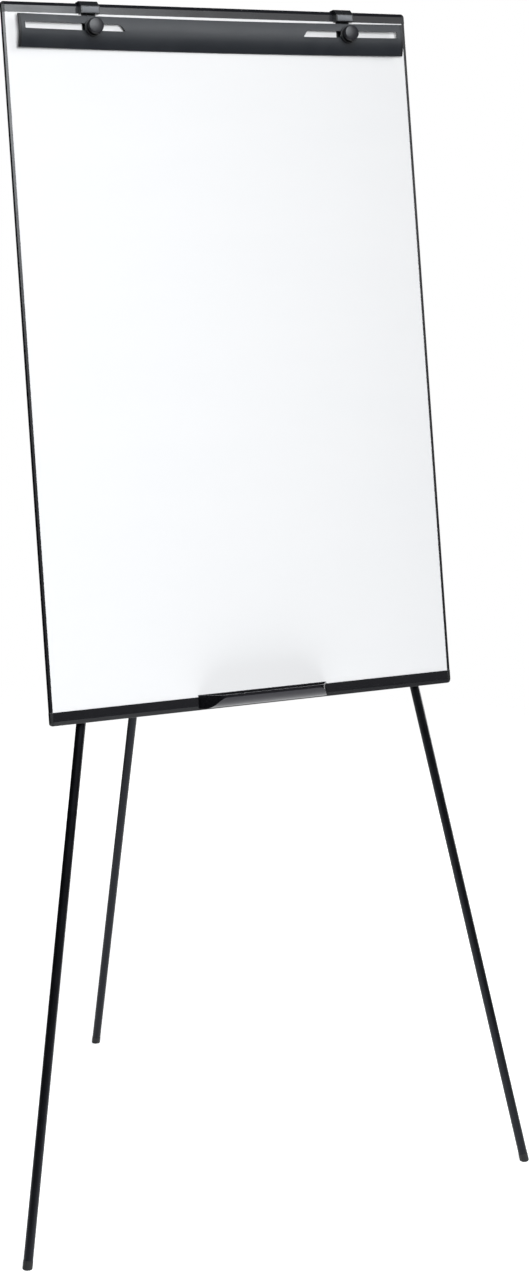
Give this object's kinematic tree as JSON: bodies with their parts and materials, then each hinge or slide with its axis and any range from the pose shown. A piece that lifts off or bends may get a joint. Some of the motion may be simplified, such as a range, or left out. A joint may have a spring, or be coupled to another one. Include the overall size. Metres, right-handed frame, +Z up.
{
  "type": "flipchart easel",
  "caption": "Flipchart easel: a framed whiteboard on three telescopic folding legs, with a bowed pad clamp bar, sliding knobs on hanger clips, and a pen tray.",
  "frame": {"origin": "on the floor, under the middle of the easel's bounding box", "axes": "+Z up, +X to the reader's right along the board's width, -Y towards the reader; the board leans back 10 degrees towards +Y"},
  "size_m": [0.8664, 0.7754, 1.8218],
  "materials": {
    "board_enamel": "white lacquer, glossy, writable",
    "board_core": "raw fibreboard",
    "backing": "dull foil-grey sheet",
    "frame": "satin extruded black plastic",
    "moulded_black": "fine-textured black",
    "tray": "satin black",
    "clamp_bar": "satin blue-black",
    "clip_plastic": "textured dark grey",
    "knob": "satin black",
    "plated_steel": "zinc-plated",
    "brass": "turned",
    "leg_paint": "black gloss powder coat",
    "bracket_paint": "black powder coat",
    "foot_rubber": "matt black"
  },
  "bodies": {
    "root": {"whiteboard_sheet": "board_enamel", "board_core": "board_core", "back_sheet": "backing", "top_rail": "frame", "bottom_rail": "frame", "rail_end_caps": "moulded_black", "left_side_trim": "frame", "right_side_trim": "frame", "pen_tray": "tray", "pen_tray_screws": "plated_steel", "leg_bracket_plate": "bracket_paint", "leg_bracket_yoke": "bracket_paint", "leg_bracket_screws": "plated_steel", "front_pivot_pins": "plated_steel", "rear_hinge_pin": "plated_steel", "left_leg_stop": "bracket_paint", "right_leg_stop": "bracket_paint", "leg_stop_screws": "plated_steel"},
    "clamp_bar": {"clamp_bar": "clamp_bar", "clamp_bar_end_caps": "moulded_black"},
    "left_hanger": {"left_hanger_clip": "clip_plastic", "left_hanger_stud": "plated_steel"},
    "left_washer": {"left_knob_washer": "moulded_black"},
    "left_knob": {"left_knob": "knob", "left_knob_insert": "brass"},
    "right_hanger": {"right_hanger_clip": "clip_plastic", "right_hanger_stud": "plated_steel"},
    "right_washer": {"right_knob_washer": "moulded_black"},
    "right_knob": {"right_knob": "knob", "right_knob_insert": "brass"},
    "left_leg": {"left_leg_head": "moulded_black", "left_leg_upper_tube": "leg_paint", "left_leg_lock_collar": "moulded_black"},
    "left_lock_screw": {"left_leg_lock_screw": "moulded_black"},
    "left_lower_leg": {"left_leg_lower_tube": "leg_paint", "left_leg_slide_bush": "moulded_black", "left_leg_foot": "foot_rubber"},
    "right_leg": {"right_leg_head": "moulded_black", "right_leg_upper_tube": "leg_paint", "right_leg_lock_collar": "moulded_black"},
    "right_lock_screw": {"right_leg_lock_screw": "moulded_black"},
    "right_lower_leg": {"right_leg_lower_tube": "leg_paint", "right_leg_slide_bush": "moulded_black", "right_leg_foot": "foot_rubber"},
    "rear_leg": {"rear_leg_head": "moulded_black", "rear_leg_upper_tube": "leg_paint", "rear_leg_lock_collar": "moulded_black"},
    "rear_lock_screw": {"rear_leg_lock_screw": "moulded_black"},
    "rear_lower_leg": {"rear_leg_lower_tube": "leg_paint", "rear_leg_slide_bush": "moulded_black", "rear_leg_foot": "foot_rubber"}
  },
  "joints": [
    {"name": "clamp_bar_slide", "type": "slide", "parent": "root", "child": "clamp_bar", "axis": [0, -0.9848, 0.1736], "range_m": [0, 0.007]},
    {"name": "left_hanger_slide", "type": "slide", "parent": "root", "child": "left_hanger", "axis": [1, 0, 0], "range_m": [-0.06, 0.042]},
    {"name": "left_washer_slide", "type": "slide", "parent": "clamp_bar", "child": "left_washer", "axis": [0.999, 0.0431, -0.0076], "range_m": [-0.06026, 0.04224]},
    {"name": "left_knob_turn", "type": "hinge", "parent": "left_washer", "child": "left_knob", "pos_m": [-0.204, -0.10401, 1.78353], "axis": [0, -0.9848, 0.1736], "range_deg": [0, 1261]},
    {"name": "right_hanger_slide", "type": "slide", "parent": "root", "child": "right_hanger", "axis": [1, 0, 0], "range_m": [-0.062, 0.06]},
    {"name": "right_washer_slide", "type": "slide", "parent": "clamp_bar", "child": "right_washer", "axis": [0.9988, -0.0478, 0.0084], "range_m": [-0.06227, 0.06027]},
    {"name": "right_knob_turn", "type": "hinge", "parent": "right_washer", "child": "right_knob", "pos_m": [0.2265, -0.1051, 1.78372], "axis": [0, -0.9848, 0.1736], "range_deg": [0, 1261]},
    {"name": "left_leg_fold", "type": "hinge", "parent": "root", "child": "left_leg", "pos_m": [-0.1051, -0.0744, 1.73586], "axis": [0, -0.9848, 0.1736], "range_deg": [0, 10.3]},
    {"name": "left_lock_turn", "type": "hinge", "parent": "left_leg", "child": "left_lock_screw", "pos_m": [-0.26615, -0.21124, 0.86189], "axis": [0, 0.9848, -0.1736], "range_deg": [0, 360]},
    {"name": "left_leg_telescope", "type": "slide", "parent": "left_leg", "child": "left_lower_leg", "axis": [0.1791, 0.1708, 0.9689], "range_m": [0, 0.6]},
    {"name": "right_leg_fold", "type": "hinge", "parent": "root", "child": "right_leg", "pos_m": [0.1051, -0.0744, 1.73586], "axis": [0, 0.9848, -0.1736], "range_deg": [0, 10.3]},
    {"name": "right_lock_turn", "type": "hinge", "parent": "right_leg", "child": "right_lock_screw", "pos_m": [0.26615, -0.21124, 0.86189], "axis": [0, 0.9848, -0.1736], "range_deg": [0, 360]},
    {"name": "right_leg_telescope", "type": "slide", "parent": "right_leg", "child": "right_lower_leg", "axis": [-0.1791, 0.1708, 0.9689], "range_m": [0, 0.6]},
    {"name": "rear_leg_fold", "type": "hinge", "parent": "root", "child": "rear_leg", "pos_m": [0, -0.05863, 1.69856], "axis": [-1, 0, 0], "range_deg": [0, 24]},
    {"name": "rear_lock_turn", "type": "hinge", "parent": "rear_leg", "child": "rear_lock_screw", "pos_m": [0.017, 0.16646, 0.82819], "axis": [1, 0, 0], "range_deg": [0, 360]},
    {"name": "rear_leg_telescope", "type": "slide", "parent": "rear_leg", "child": "rear_lower_leg", "axis": [0, -0.2504, 0.9681], "range_m": [0, 0.6]}
  ],
  "couplings": [
    {"joint": "left_washer_slide", "follows": "left_hanger_slide", "ratio": 1.001},
    {"joint": "left_knob_turn", "follows": "clamp_bar_slide", "rad_per_m": 3141.6},
    {"joint": "right_washer_slide", "follows": "right_hanger_slide", "ratio": 1.0012},
    {"joint": "right_knob_turn", "follows": "clamp_bar_slide", "rad_per_m": 3141.6}
  ]
}
